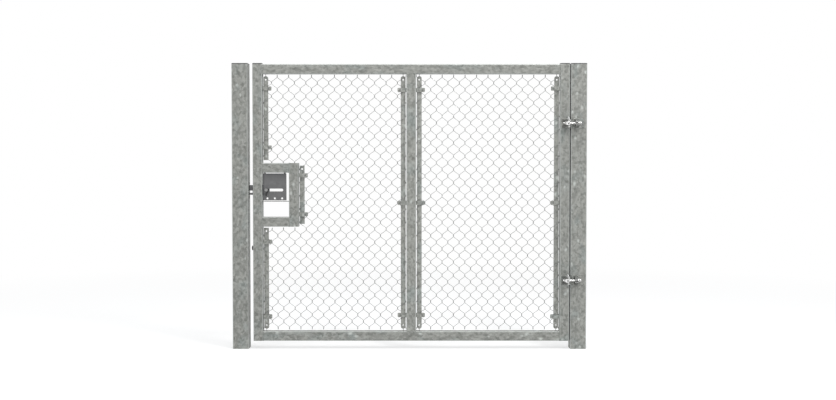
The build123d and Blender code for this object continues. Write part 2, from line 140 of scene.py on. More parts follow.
paint = add_node(tree, "ShaderNodeBsdfDiffuse", {
    "Color": mixed(tree, seen, (floor_tone,) * 3, (floor_seen_tone,) * 3)})[0]
glow = add_node(tree, "ShaderNodeEmission", {
    "Color": (1, 1, 1, 1), "Strength": calc(tree, "MULTIPLY", seen, floor_seen_glow)})[0]
lifted = add_node(tree, "ShaderNodeAddShader", {0: paint, 1: glow})[0]
plain_white = add_node(tree, "ShaderNodeEmission", {"Color": (1, 1, 1, 1), "Strength": 1.0})[0]
fade = calc(tree, "MULTIPLY", seen, ranged(tree, distance, fade_start, fade_end, 0, 1))
whole = add_node(tree, "ShaderNodeMixShader", {0: fade, 1: lifted, 2: plain_white})[0]
add_node(tree, "ShaderNodeOutputMaterial", {"Surface": whole})

camera_dip = 2.06
camera = bpy.data.objects.new("camera", bpy.data.cameras.new("camera"))
camera.data.sensor_width = 36.0
camera.data.lens = 53.5
camera.data.clip_start = 0.05
camera.data.clip_end = 100.0
camera.location = (-0.9964, -7.75, 1.205)
camera.rotation_euler = (radians(90 - camera_dip), 0, 0)
scene.collection.objects.link(camera)
scene.camera = camera


# Posts. Two square steel tubes, 100 mm wide with 4 mm walls, rolled with rounded corners and
# hot-dip galvanised inside and out. One carries the leaf, the other the keeper.
def dressed(name, coat):
    """Gives a CAD node its material."""
    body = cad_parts[name]
    if not body.material_slots:
        body.data.materials.append(coat)
    for place in body.material_slots:
        place.material = coat


def new_finish(name):
    """An empty material, its tree, and the places and directions on the part that patterns read."""
    finish = bpy.data.materials.new(name)
    tree = fresh_tree(finish)
    return finish, tree, add_node(tree, "ShaderNodeTexCoord")


def noise(tree, place, scale, detail, roughness=0.5):
    """Cloudy pattern from 0 to 1."""
    return add_node(tree, "ShaderNodeTexNoise", {
        "Vector": place, "Scale": scale, "Detail": detail, "Roughness": roughness})[0]


def axes_of(tree, vector):
    """The X, Y and Z of a place or a direction."""
    return add_node(tree, "ShaderNodeSeparateXYZ", {0: vector})


def shaded(tree, colour, metallic, roughness, relief, strength, depth):
    """Ends a material's tree: a principled shader over a fine relief, its depth in metres."""
    bump = add_node(tree, "ShaderNodeBump", {"Height": relief, "Strength": strength, "Distance": depth})[0]
    shader = add_node(tree, "ShaderNodeBsdfPrincipled", {
        "Base Color": colour, "Metallic": metallic, "Roughness": roughness, "Normal": bump})[0]
    add_node(tree, "ShaderNodeOutputMaterial", {"Surface": shader})


def zinc_coat(name, grain, shift, tone, crystals=1.0, corner_shine=0.0, placed_tint=None):
    """Hot-dip zinc: grey and bluish clouds, drawn-out crystals, bright flecks, and a painted highlight that
    lightens the rounded corners.
    """
    coat, tree, on_part = new_finish(name)
    placed = add_node(tree, "ShaderNodeMapping", {
        "Vector": on_part["Object"], "Location": shift, "Scale": grain})[0]
    wander = add_node(tree, "ShaderNodeTexNoise", {"Vector": placed, "Scale": 46.0, "Detail": 3.0})["Color"]
    drift = add_node(tree, "ShaderNodeVectorMath", {0: wander, 1: (0.022,) * 3}, operation="MULTIPLY")[0]
    warped = add_node(tree, "ShaderNodeVectorMath", {0: placed, 1: drift}, operation="ADD")[0]
    crystal = add_node(tree, "ShaderNodeTexVoronoi", {"Vector": warped, "Scale": 80.0 * crystals})
    crystal_tone = add_node(tree, "ShaderNodeSeparateColor", {0: crystal["Color"]})[0]
    clouds = noise(tree, placed, 56.0, 4.0, 0.62)
    grit = noise(tree, placed, 420.0, 2.0, 0.7)
    level = calc(tree, "MULTIPLY_ADD", ranged(tree, clouds, 0.33, 0.67, 0, 1), 0.43,
                 calc(tree, "MULTIPLY_ADD", crystal_tone, 0.45, calc(tree, "MULTIPLY", grit, 0.12)))
    dark, light, rubbed_and_highlight, fleck_tone = (tuple(tone * part for part in shade) for shade in (
        (0.182, 0.187, 0.173), (0.390, 0.396, 0.371), (0.48, 0.50, 0.482), (0.55, 0.575, 0.55)))
    grey = mixed(tree, ranged(tree, level, 0.1, 0.9, 0, 1), dark, light)
    bluish = ranged(tree, noise(tree, placed, 11.0, 3.0), 0.52, 0.7, 0, 0.7)
    cold = add_node(tree, "ShaderNodeMix", {0: bluish, 6: grey, 7: (0.92, 1.0, 1.03, 1)},
                    data_type="RGBA", blend_type="MULTIPLY")[2]
    fleck = add_node(tree, "ShaderNodeTexVoronoi", {"Vector": warped, "Scale": 22.0})
    chosen = add_node(tree, "ShaderNodeSeparateColor", {0: fleck["Color"]})[1]
    fleck_share = calc(tree, "MULTIPLY", ranged(tree, fleck["Distance"], 0.07, 0.25, 0.85, 0),
                       calc(tree, "GREATER_THAN", chosen, 0.66))
    flecked = mixed(tree, fleck_share, cold, fleck_tone)
    # Painted highlight: where the surface turns between the front or back and a side, the colour goes
    # toward a paler grey, most on the rounded corners.
    facing = axes_of(tree, on_part["Normal"])
    turned_x = calc(tree, "ABSOLUTE", calc(tree, "MULTIPLY", facing["X"], facing["Y"]))
    turned_z = calc(tree, "ABSOLUTE", calc(tree, "MULTIPLY", facing["Z"], facing["Y"]))
    on_corner = ranged(tree, calc(tree, "ADD", turned_x, turned_z), 0.04, 0.40, 0, corner_shine)
    colour = mixed(tree, on_corner, flecked, rubbed_and_highlight)
    # placed_tint changes the colour by place on the part: the keeper's dark ear, and the hinge lugs'
    # painted shade and painted highlight.
    if placed_tint:
        colour = placed_tint(tree, axes_of(tree, on_part["Object"]), colour)
    relief = calc(tree, "MULTIPLY_ADD", crystal["Distance"], 0.35, calc(tree, "MULTIPLY", grit, 0.5))
    shaded(tree, colour, 0.6, ranged(tree, level, 0.1, 0.9, 0.62, 0.46), relief, 0.35, 0.0006)
    return coat


def dressed_tube(name, grain, shift, tone):
    """Zinc on a square tube, with a painted highlight along its rounded corners."""
    dressed(name, zinc_coat("zinc_" + name, grain, shift, tone, corner_shine=0.75))


upright = (1.0, 1.0, 0.75)
dressed_tube("hinge_post", upright, (0.31, 0.12, 0.44), 1.01)
dressed_tube("latch_post", upright, (3.77, 0.52, 1.9), 0.97)


# Caps. Push-in lids of black polyethylene with a bevelled rim and a hollow plug. They close
# both posts and both stiles against rain, and are knocked in with a mallet.
def moulded_black(name, colour, roughness, grain):
    """Moulded plastic or rubber: fine leathery grain, dust lying in it, and a duller worn bloom."""
    skin, tree, on_part = new_finish(name)
    spot = on_part["Object"]
    leather = add_node(tree, "ShaderNodeTexVoronoi", {"Vector": spot, "Scale": grain})["Distance"]
    bloom = noise(tree, spot, 35.0, 4.0)
    dusty = tuple(2.4 * part + 0.012 for part in colour)
    tone = mixed(tree, ranged(tree, bloom, 0.45, 0.75, 0, 0.6), colour, dusty)
    bloomed = ranged(tree, bloom, 0.3, 0.7, roughness, roughness + 0.16)
    shaded(tree, tone, 0.0, bloomed, leather, 0.3, 0.0003)
    return skin


cap_plastic = moulded_black("cap_plastic", (0.022, 0.022, 0.023), 0.48, 900.0)
for cap in ("hinge_post_cap", "latch_post_cap", "hinge_stile_cap", "latch_stile_cap"):
    dressed(cap, cap_plastic)

# Leaf frame. Square steel tube, 60 mm wide: two full-height stiles with the two rails and the
# middle post welded between them. The whole frame is galvanised in one dip after welding.
level_run = (0.65, 1.0, 1.0)
dressed_tube("hinge_stile", upright, (1.2, 0.3, 5.1), 0.99)
dressed_tube("latch_stile", upright, (7.9, 0.7, 2.3), 0.97)
dressed_tube("mullion", upright, (4.6, 2.2, 8.8), 1.02)
dressed_tube("top_rail", level_run, (2.9, 6.1, 0.4), 0.98)
dressed_tube("bottom_rail", level_run, (9.3, 1.4, 3.6), 1.0)

# Lock box. Three shorter lengths of the same tube, welded to the latch stile and to each
# other, frame the window that holds the lock and leave a hand hole under it.
dressed_tube("lock_box_top", level_run, (5.5, 3.3, 7.2), 0.96)
dressed_tube("lock_box_bottom", level_run, (0.8, 9.1, 4.4), 0.96)
dressed_tube("lock_box_side", upright, (6.4, 5.8, 0.9), 0.95)

# Weld beads. A rippled bead about 5 mm wide runs round both ends of every rail and of the
# middle post, in the groove that the rounded corners leave. It has the frame's zinc coat.
stile_low, stile_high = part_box("latch_stile")
half_tube = (stile_high.x - stile_low.x) / 2
leaf_mid = (stile_low.y + stile_high.y) / 2
leaf_front = leaf_mid - half_tube
bead_sunk = 0.0006
groove_corner = 0.005


def middle(node):
    """Middle of a CAD node's box."""
    low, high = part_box(node)
    return (low.x + high.x) / 2, (low.y + high.y) / 2, (low.z + high.z) / 2


def new_form(name, measures, counts=()):
    """Geometry tree with a Geometry, a Material and named number inputs, and what those inputs give."""
    tree = bpy.data.node_groups.new(name, "GeometryNodeTree")
    tree.interface.new_socket("Geometry", in_out="OUTPUT", socket_type="NodeSocketGeometry")
    inputs = [("Geometry", "Geometry"), ("Material", "Material")]
    inputs += [(label, "Float") for label in measures] + [(label, "Int") for label in counts]
    for label, kind in inputs:
        tree.interface.new_socket(label, in_out="INPUT", socket_type="NodeSocket" + kind)
    return tree, tree.nodes.new("NodeGroupInput").outputs


def finish_form(tree, shape, smooth=True):
    """Ends a geometry tree: instances made real, faces shaded smooth or flat, and the material set."""
    real = add_node(tree, "GeometryNodeRealizeInstances", {"Geometry": shape})[0]
    faces = add_node(tree, "GeometryNodeSetShadeSmooth", {"Geometry": real, "Shade Smooth": smooth})[0]
    coat = tree.nodes["Group Input"].outputs["Material"]
    coated = add_node(tree, "GeometryNodeSetMaterial", {"Geometry": faces, "Material": coat})[0]
    add_node(tree, "NodeGroupOutput", {0: coated})


def tube_along(tree, line, sides, radius):
    """Round bar along a curve, closed at both ends."""
    ring = add_node(tree, "GeometryNodeCurvePrimitiveCircle", {"Resolution": sides, "Radius": radius})[0]
    return add_node(tree, "GeometryNodeCurveToMesh", {
        "Curve": line, "Profile Curve": ring, "Fill Caps": True})[0]


def grown(name, form, coat, body, slot, sizes, points, edges=(), facing=None):
    """A piece that a geometry tree grows from points or paths, as a plain mesh on its body."""
    base = bpy.data.meshes.new(name)
    base.from_pydata([tuple(point) for point in points], edges, [])
    if facing:
        arrows = base.attributes.new("facing", "FLOAT_VECTOR", "POINT")
        arrows.data.foreach_set("vector", [part for arrow in facing for part in arrow])
    piece = bpy.data.objects.new(name, base)
    scene.collection.objects.link(piece)
    modifier = piece.modifiers.new("form", "NODES")
    modifier.node_group = form
    settings = {**sizes, "Material": coat}
    for item in form.interface.items_tree:
        if item.in_out == "INPUT" and item.name in settings:
            modifier[item.identifier] = settings[item.name]
    bpy.context.view_layer.update()
    shaped = piece.evaluated_get(bpy.context.evaluated_depsgraph_get())
    made = bpy.data.meshes.new_from_object(shaped)
    piece.modifiers.clear()
    piece.data = made
    made.name = name
    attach(piece, body)
    return piece


bead, given = new_form("rippled_bead", ("Bead radius", "Ripple depth", "Ripple pitch", "Step"), ("Sides",))
line = add_node(bead, "GeometryNodeMeshToCurve", {"Mesh": given["Geometry"]})[0]
line = add_node(bead, "GeometryNodeResampleCurve", {
    "Curve": line, "Length": given["Step"]}, mode="LENGTH")[0]
travelled = add_node(bead, "GeometryNodeSplineParameter")["Length"]
phase = calc(bead, "MULTIPLY", calc(bead, "DIVIDE", travelled, given["Ripple pitch"]), 2 * pi)
swell = calc(bead, "MULTIPLY_ADD", calc(bead, "SINE", phase), given["Ripple depth"], 1.0)
line = add_node(bead, "GeometryNodeSetCurveRadius", {"Curve": line, "Radius": swell})[0]
finish_form(bead, tube_along(bead, line, given["Sides"], given["Bead radius"]))


def round_bar(name, coat, body, slot, run, radius, step, sides, ripple=0.0, pitch=0.01):
    """A wire or a bead along a run, which is a list of points and a list of edges."""
    sizes = {"Bead radius": radius, "Ripple depth": ripple, "Ripple pitch": pitch,
             "Step": step, "Sides": sides}
    grown(name, bead, coat, body, slot, sizes, *run)


even_grain = (1.0, 1.0, 1.0)
weld_zinc = zinc_coat("zinc_welds", even_grain, (0.2, 0.9, 0.1), 0.97, 2.0)


def welded(name, body, run, radius, pitch=0.0042, ripple=0.14, step=0.0014):
    """A galvanised weld bead along a run."""
    round_bar(name, weld_zinc, body, "galvanised", run, radius, step, 8, ripple, pitch)


def add_path(run, path, closed=False):
    """Adds an open or a closed path to a run."""
    points, edges = run
    first = len(points)
    points.extend(path)
    edges.extend((place, place + 1) for place in range(first, len(points) - 1))
    if closed:
        edges.append((len(points) - 1, first))


def add_square(run, centre, across, up, half, corner):
    """Adds a square with cut corners to a run, in the plane of two directions."""
    along = half - corner
    turns = ((along, half), (half, along), (half, -along), (along, -half),
             (-along, -half), (-half, -along), (-half, along), (-along, half))
    add_path(run, [Vector(centre) + Vector(across) * a + Vector(up) * b for a, b in turns], closed=True)


frame_welds = ([], [])
for rail in ("top_rail", "bottom_rail", "lock_box_top", "lock_box_bottom"):
    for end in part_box(rail):
        add_square(frame_welds, (end.x, leaf_mid, middle(rail)[2]), (0, 1, 0), (0, 0, 1),
                   half_tube - bead_sunk, groove_corner)
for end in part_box("mullion"):
    add_square(frame_welds, (middle("mullion")[0], leaf_mid, end.z), (1, 0, 0), (0, 1, 0),
               half_tube - bead_sunk, groove_corner)
welded("frame_weld_beads", "leaf", frame_welds, 0.0024)


# End plates. The lock box's upright is cut square at both ends. A 2 mm plate with rounded
# corners is let into each end and welded round, so that no water stands in the tube.
def joined(tree, *shapes):
    """Several shapes as one."""
    join = tree.nodes.new("GeometryNodeJoinGeometry")
    for shape in shapes:
        tree.links.new(shape, join.inputs[0])
    return join.outputs[0]


def closed_plate(tree, face, thickness):
    """Solid plate: a flat face pushed up, with a copy turned round and sewn on below."""
    raised = add_node(tree, "GeometryNodeExtrudeMesh", {
        "Mesh": face, "Offset Scale": thickness, "Individual": False})[0]
    under = add_node(tree, "GeometryNodeFlipFaces", {"Mesh": face})[0]
    return add_node(tree, "GeometryNodeMergeByDistance", {
        "Geometry": joined(tree, raised, under), "Distance": 0.00001})[0]


def stood_on_points(tree, shape):
    """Copies of a shape on the points, each with its Z along that point's facing."""
    facing = add_node(tree, "GeometryNodeInputNamedAttribute", {"Name": "facing"},
                      data_type="FLOAT_VECTOR")[0]
    turned = add_node(tree, "FunctionNodeAlignRotationToVector", {"Vector": facing}, axis="Z")[0]
    points = add_node(tree, "GeometryNodeMeshToPoints", {"Mesh": tree.nodes["Group Input"].outputs[0]})[0]
    return add_node(tree, "GeometryNodeInstanceOnPoints", {
        "Points": points, "Instance": shape, "Rotation": turned})[0]


end_plate, given = new_form("end_plates", ("Width", "Corner", "Thickness"))
outline = add_node(end_plate, "GeometryNodeCurvePrimitiveQuadrilateral", {
    "Width": given["Width"], "Height": given["Width"]})[0]
outline = add_node(end_plate, "GeometryNodeFilletCurve", {
    "Curve": outline, "Radius": given["Corner"], "Count": 4}, mode="POLY")[0]
blank = add_node(end_plate, "GeometryNodeFillCurve", {"Curve": outline}, mode="NGONS")[0]
blank = closed_plate(end_plate, blank, given["Thickness"])
finish_form(end_plate, stood_on_points(end_plate, blank), False)
plate_inset = 0.0028
seam_inset = 0.0016
seam_sunk = 0.0038
upright_x = middle("lock_box_side")[0]
foot_z, head_z = (end.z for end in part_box("lock_box_side"))
grown("box_end_plates", end_plate, weld_zinc, "leaf", "galvanised",
      {"Width": 2 * half_tube - 0.005, "Corner": 0.003, "Thickness": 0.002},
      [(upright_x, leaf_mid, head_z - plate_inset), (upright_x, leaf_mid, foot_z + plate_inset)],
      facing=[(0, 0, 1), (0, 0, -1)])
end_seams = ([], [])
for height in (head_z - seam_inset, foot_z + seam_inset):
    add_square(end_seams, (upright_x, leaf_mid, height), (1, 0, 0), (0, 1, 0), half_tube - seam_sunk, 0.004)
welded("box_end_welds", "leaf", end_seams, 0.0014, 0.0040)

# Tension bars. Flat steel, 30 by 6 mm, galvanised, with a hole near most of their ends. They
# stand in the end loops of the mesh and spread its pull over the height.
for index, (bar, tone) in enumerate((
        ("above_lock", 1.05), ("below_lock", 1.07), ("lock_box", 1.07),
        ("mullion_left", 1.11), ("mullion_right", 1.12), ("hinge_side", 1.0))):
    shift = (0.7 + 1.9 * index, 3.1, 2.2 + 0.8 * index)
    dressed("tension_bar_" + bar, zinc_coat("zinc_bar_" + bar, upright, shift, tone, 1.3))

# Strap hooks. Each is a strip of 4 mm steel bent round a tension bar, welded to the tube by
# its two ends, and drawn shut by an M5 screw just past the bar, which holds the bar in place.
hook_zinc = zinc_coat("zinc_hooks", even_grain, (8.2, 1.3, 4.9), 1.12, 1.3)
for hooks in ("latch_stile_hooks", "lock_box_hooks", "mullion_hooks", "hinge_stile_hooks"):
    dressed(hooks, hook_zinc)


def bright_steel(name, colour, roughness):
    """Plated or stainless steel: fine turning marks, faint stains and a soft shine."""
    metal, tree, on_part = new_finish(name)
    marks = noise(tree, on_part["Object"], 30.0, 3.0)
    stain = noise(tree, on_part["Object"], 90.0, 3.0)
    dull = tuple(0.66 * part for part in colour)
    tone = mixed(tree, ranged(tree, stain, 0.48, 0.75, 0, 0.7), colour, dull)
    stain_and_shade = ranged(tree, stain, 0.35, 0.7, roughness, roughness + 0.14)
    shaded(tree, tone, 1.0, stain_and_shade, marks, 0.15, 0.0002)
    return metal


def drum(tree, sides, radius, depth, base, top_radius=None):
    """Cone or cylinder that stands on +Z from the height base."""
    shape = add_node(tree, "GeometryNodeMeshCone", {
        "Vertices": sides, "Radius Bottom": radius,
        "Radius Top": radius if top_radius is None else top_radius, "Depth": depth})["Mesh"]
    rise = add_node(tree, "ShaderNodeCombineXYZ", {"Z": base})[0]
    return add_node(tree, "GeometryNodeTransform", {"Geometry": shape, "Translation": rise})[0]


screw_zinc = bright_steel("plated_screws", (0.25, 0.255, 0.25), 0.48)
corners_per_flats = 0.5774
prism_share = 0.84
hex_screw, given = new_form("hex_screws", ("Across flats", "Head height", "Washer radius",
                                           "Washer thickness", "Shank radius", "Shank length"))
times = partial(calc, hex_screw, "MULTIPLY")
flats = given["Across flats"]
washer = given["Washer thickness"]
prism_height = times(given["Head height"], prism_share)
screw_shape = joined(
    hex_screw,
    drum(hex_screw, 20, given["Washer radius"], washer, 0.0),
    drum(hex_screw, 6, times(flats, corners_per_flats), prism_height, washer),
    drum(hex_screw, 18, times(flats, 0.5), times(given["Head height"], 1 - prism_share),
         calc(hex_screw, "ADD", washer, prism_height), times(flats, 0.40)),
    drum(hex_screw, 12, given["Shank radius"], given["Shank length"], times(given["Shank length"], -1.0)))
finish_form(hex_screw, stood_on_points(hex_screw, screw_shape), False)

hook_outer = 0.011
hook_weld_reach = 0.01125
tube_to_bar = 0.005
screw_past_bar = 0.0045
screw_places = []
screw_facing = []
hook_welds = ([], [])
for bar, side, from_top, from_foot, has_middle in (
        ("above_lock", 1, 0.076, 0.079, False), ("below_lock", 1, 0.087, 0.076, False),
        ("lock_box", 1, 0.060, 0.060, False), ("mullion_left", -1, 0.085, 0.085, True),
        ("mullion_right", 1, 0.085, 0.085, True), ("hinge_side", -1, 0.076, 0.076, True)):
    low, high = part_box("tension_bar_" + bar)
    inner_x, outer_x = (low.x, high.x) if side > 0 else (high.x, low.x)
    weld_x = inner_x - side * tube_to_bar
    heights = [high.z - from_top, low.z + from_foot]
    if has_middle:
        heights.append((low.z + high.z) / 2)
    for height in heights:
        for face in (-1, 1):
            face_y = leaf_mid + face * hook_outer
            screw_places.append((outer_x + side * screw_past_bar, face_y, height))
            screw_facing.append((0, face, 0))
            add_path(hook_welds, [(weld_x, face_y, height - hook_weld_reach),
                                  (weld_x, face_y, height + hook_weld_reach)])
grown("hook_screws", hex_screw, screw_zinc, "leaf", "galvanised",
      {"Across flats": 0.008, "Head height": 0.003, "Washer radius": 0.0055, "Washer thickness": 0.0008,
       "Shank radius": 0.0025, "Shank length": hook_outer}, screw_places, facing=screw_facing)
welded("hook_weld_beads", "leaf", hook_welds, 0.0019, 0.0035, 0.16, 0.0012)

# Chain link mesh. Galvanised wire of 3 mm is bent into flat spirals, and each spiral is wound
# through the one beside it. The ends are twisted together along the top and the bottom, and
# the end spirals loop round the tension bars.
weave, given = new_form("woven_mesh", (
    "Bay start", "Foot", "Plane", "Half column", "Half row", "Wire radius", "Leg depth", "Bar leg depth",
    "Left bar reach", "Right bar reach", "Tip down", "Tip up"), (
    "First strand", "Strands", "First row", "Rows", "Left bar strand", "Left bar low row",
    "Left bar high row", "Right bar strand"))
steps_per_row = 8
tip_steps = 4
row_ease = 0.45
free_sharpness = 2.8
more_sharpness_at_bar = 2.6
tip_twist = 1.2 * pi
plus, minus, times, over, times_plus, larger, cosine, sine, tanh = (partial(calc, weave, kind) for kind in (
    "ADD", "SUBTRACT", "MULTIPLY", "DIVIDE", "MULTIPLY_ADD", "MAXIMUM", "COSINE", "SINE", "TANH"))
same = partial(calc, weave, "COMPARE")
row_steps = times(given["Rows"], steps_per_row)
line = add_node(weave, "GeometryNodeCurvePrimitiveLine", {"End": (0, 0, 1)})[0]
line = add_node(weave, "GeometryNodeResampleCurve", {
    "Curve": line, "Count": plus(row_steps, 2 * tip_steps + 1)}, mode="COUNT")[0]
copies = add_node(weave, "GeometryNodeDuplicateElements", {
    "Geometry": line, "Amount": given["Strands"]}, domain="SPLINE")
step = minus(add_node(weave, "GeometryNodeSplineParameter")["Index"], tip_steps)
travel = over(calc(weave, "MINIMUM", larger(step, 0), row_steps), steps_per_row)
whole_rows = calc(weave, "FLOOR", travel)
part = minus(travel, whole_rows)
eased = times_plus(sine(times(part, 2 * pi)), -row_ease / (2 * pi), part)
strand = plus(copies["Duplicate Index"], given["First strand"])
row = plus(whole_rows, given["First row"])
at_right = calc(weave, "FLOORED_MODULO", plus(strand, row), 2)
side = times_plus(at_right, 2, -1)
left_row = plus(row, at_right)
beside_bar = times(calc(weave, "GREATER_THAN", left_row, minus(given["Left bar low row"], 0.5)),
                   calc(weave, "LESS_THAN", left_row, plus(given["Left bar high row"], 0.5)))
held_left = times(same(strand, given["Left bar strand"], 0.5), beside_bar)
held_right = same(strand, given["Right bar strand"], 0.5)
held = larger(held_left, held_right)
left_start = times_plus(strand, given["Half column"], given["Bay start"])
right_start = plus(left_start, given["Half column"])
left_x = minus(left_start, times_plus(held_left, given["Left bar reach"], given["Wire radius"]))
right_x = plus(right_start, times_plus(held_right, given["Right bar reach"], given["Wire radius"]))
half_turn = times(eased, pi)
crossed = times_plus(cosine(half_turn), -0.5, 0.5)
across = calc(weave, "ABSOLUTE", minus(crossed, at_right))
depth = times_plus(held, minus(given["Bar leg depth"], given["Leg depth"]), given["Leg depth"])
sharpness = times_plus(held, more_sharpness_at_bar, free_sharpness)
bulge = over(tanh(times(sine(half_turn), sharpness)), tanh(sharpness))
up_tip = larger(over(minus(step, row_steps), tip_steps), 0)
down_tip = larger(over(times(step, -1), tip_steps), 0)
twist = times(minus(up_tip, down_tip), tip_twist)
twist_radius = times(times(side, given["Wire radius"]), minus(1, held))
twist_x = times(twist_radius, minus(cosine(twist), 1))
twist_y = times(twist_radius, sine(twist))
row_z = times_plus(plus(row, eased), given["Half row"], given["Foot"])
route = add_node(weave, "ShaderNodeCombineXYZ", {
    "X": plus(times_plus(minus(right_x, left_x), across, left_x), twist_x),
    "Y": plus(times_plus(times(side, depth), bulge, given["Plane"]), twist_y),
    "Z": minus(times_plus(up_tip, given["Tip up"], row_z), times(down_tip, given["Tip down"]))})[0]
bent = add_node(weave, "GeometryNodeSetPosition", {"Geometry": copies[0], "Position": route})[0]
finish_form(weave, tube_along(weave, bent, 6, given["Wire radius"]))


def wire_zinc(name):
    """Drawn wire with a heavy zinc coat: soft grey, duller patches and fine lengthwise marks."""
    metal, tree, on_part = new_finish(name)
    patches = noise(tree, on_part["Object"], 60.0, 3.0)
    fine = noise(tree, on_part["Object"], 900.0, 2.0)
    tone = mixed(tree, ranged(tree, patches, 0.35, 0.68, 0, 1), (0.265, 0.27, 0.265), (0.385, 0.39, 0.385))
    shaded(tree, tone, 0.85, ranged(tree, patches, 0.3, 0.7, 0.5, 0.36), fine, 0.2, 0.0001)
    return metal


mesh_wire = wire_zinc("zinc_mesh_wire")
wire_radius = 0.0015
columns = 24
rows = 38
foot = 0.127
half_row = (1.695 - foot) / rows
half_bar = 0.015
loop_reach = half_bar + wire_radius / 2 - 0.0004
left_start_x, left_end_x, right_start_x, right_end_x = (middle("tension_bar_" + bar)[0] for bar in (
    "above_lock", "mullion_left", "mullion_right", "hinge_side"))
left_column = (left_end_x - left_start_x) / columns
right_column = (right_end_x - right_start_x) / columns
box_strand = 6
box_reach = left_start_x + box_strand * left_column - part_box("tension_bar_lock_box")[0].x + 0.0003
no_strand = 99
no_bar = (no_strand, 0.0)
full_bar = (0, 0, rows, loop_reach)
last_bar = (columns - 1, loop_reach)
for name, start, column, strands, row_span, left_bar, right_bar, tips in (
        ("above_lock", left_start_x, left_column, (0, 6), (25, 13), full_bar, no_bar, (0.0012, 0.0085)),
        ("below_lock", left_start_x, left_column, (0, 6), (0, 15), full_bar, no_bar, (0.0080, 0.0090)),
        ("left_bay", left_start_x, left_column, (6, 18), (0, rows),
         (box_strand, 16, 24, box_reach), last_bar, (0.0080, 0.0085)),
        ("right_bay_inner", right_start_x, right_column, (0, 12), (0, rows),
         full_bar, no_bar, (0.0080, 0.0085)),
        ("right_bay_outer", right_start_x, right_column, (12, 12), (0, rows),
         (no_strand, 0, 0, 0.0), last_bar, (0.0080, 0.0085))):
    panel = grown("woven_" + name, weave, mesh_wire, "leaf", "mesh_wire", {
        "First strand": strands[0], "Strands": strands[1], "First row": row_span[0], "Rows": row_span[1],
        "Bay start": start, "Foot": foot, "Plane": leaf_mid, "Half column": column, "Half row": half_row,
        "Wire radius": wire_radius, "Leg depth": 0.0026, "Bar leg depth": 0.0048,
        "Left bar strand": left_bar[0], "Left bar low row": left_bar[1], "Left bar high row": left_bar[2],
        "Left bar reach": left_bar[3], "Right bar strand": right_bar[0], "Right bar reach": right_bar[1],
        "Tip down": tips[0], "Tip up": tips[1]}, [])
    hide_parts("mesh_" + name)

# End wires. The last turn of each end spiral leaves its bar in the middle and is hooked to the
# rail, so that the bar can't drop. They show as short stubs between the bars and the rails.
end_wires = ([], [])
rail_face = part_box("top_rail")[0].z
foot_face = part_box("bottom_rail")[1].z
inside_share = 0.1
for bar, at_top, at_foot in (("above_lock", True, False), ("below_lock", False, True),
                             ("mullion_left", True, True), ("mullion_right", True, True),
                             ("hinge_side", True, True)):
    low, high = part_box("tension_bar_" + bar)
    bar_x = (low.x + high.x) / 2
    for wanted, bar_end, rail_end in ((at_top, high.z, rail_face), (at_foot, low.z, foot_face)):
        if wanted:
            inside_z = bar_end + (bar_end - rail_end) * inside_share
            add_path(end_wires, [(bar_x, leaf_mid, inside_z), (bar_x, leaf_mid, rail_end)])
round_bar("bar_end_wires", mesh_wire, "leaf", "mesh_wire", end_wires, 0.0019, 0.003, 8)


# Lock plate. A plate of 5 mm steel in dark grey powder coat, with a long slot for the knob and
# three round holes. It hangs by two tabs from the lock box's top member.
def powder_coat(name, low, high):
    """Dark powder coat: fine orange peel and paler rubbed patches, with painted shade under the box and a
    painted shadow along the edges by the stile and the box.
    """
    paint, tree, on_part = new_finish(name)
    peel = noise(tree, on_part["Object"], 700.0, 2.0)
    rubbed_and_highlight = noise(tree, on_part["Object"], 42.0, 4.0)
    tone = mixed(tree, ranged(tree, rubbed_and_highlight, 0.35, 0.7, 0, 1), (0.118, 0.118, 0.119), (0.150, 0.150, 0.151))
    axes = axes_of(tree, on_part["Object"])
    to_left = calc(tree, "SUBTRACT", axes["X"], low.x)
    to_top = calc(tree, "SUBTRACT", high.z, axes["Z"])
    # Painted shade: darker towards the top edge, under the lock box's top member.
    painted_box_shade = mixed(tree, ranged(tree, to_top, 0.006, 0.055, 0.55, 0), tone, (0.055, 0.055, 0.057))
    # Painted shadow: a dark rim along the left edge by the stile and along the top edge.
    rim = calc(tree, "MAXIMUM", ranged(tree, to_left, 0.005, 0.009, 0.75, 0),
               ranged(tree, to_top, 0.009, 0.013, 0.6, 0))
    colour = mixed(tree, rim, painted_box_shade, (0.050, 0.051, 0.053))
    shaded(tree, colour, 0.0, ranged(tree, rubbed_and_highlight, 0.3, 0.7, 0.46, 0.6), peel, 0.25, 0.0003)
    return paint


dressed("lock_plate", powder_coat("lock_powder_coat", *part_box("lock_plate")))

# Shelf and guides. A thin galvanised strip closes the lock opening below the plate, and two
# lipped rails welded to the plate's back carry the bolt.
dressed("lock_shelf", zinc_coat("zinc_shelf", level_run, (2.4, 0.2, 6.6), 0.66, 1.5))
dressed("bolt_guides", zinc_coat("zinc_guides", level_run, (3.4, 2.2, 1.6), 0.9, 1.5))


# Bolt. A flat bar that slides through the latch stile with a forked tongue, dark with oil and
# wear. The turned knob on its stem stands in front of the plate, brighter where hands rub it,
# with a ribbed rim and an end screw. Below it stands a dark bent bar, a painted shadow of the knob.
def worn_steel(name, dark, bare, metallic, roughness):
    """Oiled dark steel rubbed bare in long streaks along X, with a few rust-brown specks."""
    metal, tree, on_part = new_finish(name)
    spot = on_part["Object"]
    drawn = add_node(tree, "ShaderNodeMapping", {"Vector": spot, "Scale": (0.12, 1.0, 1.0)})[0]
    streaks = noise(tree, drawn, 260.0, 3.0)
    worn = calc(tree, "MULTIPLY", ranged(tree, streaks, 0.42, 0.7, 0, 1),
                ranged(tree, noise(tree, spot, 75.0, 3.0), 0.4, 0.66, 0.15, 1))
    rust = ranged(tree, noise(tree, spot, 300.0, 2.0), 0.66, 0.74, 0, 0.5)
    colour = mixed(tree, rust, mixed(tree, worn, dark, bare), (0.090, 0.055, 0.035))
    smoothed = ranged(tree, worn, 0, 1, roughness, roughness - 0.15)
    shaded(tree, colour, metallic, smoothed, streaks, 0.2, 0.0002)
    return metal


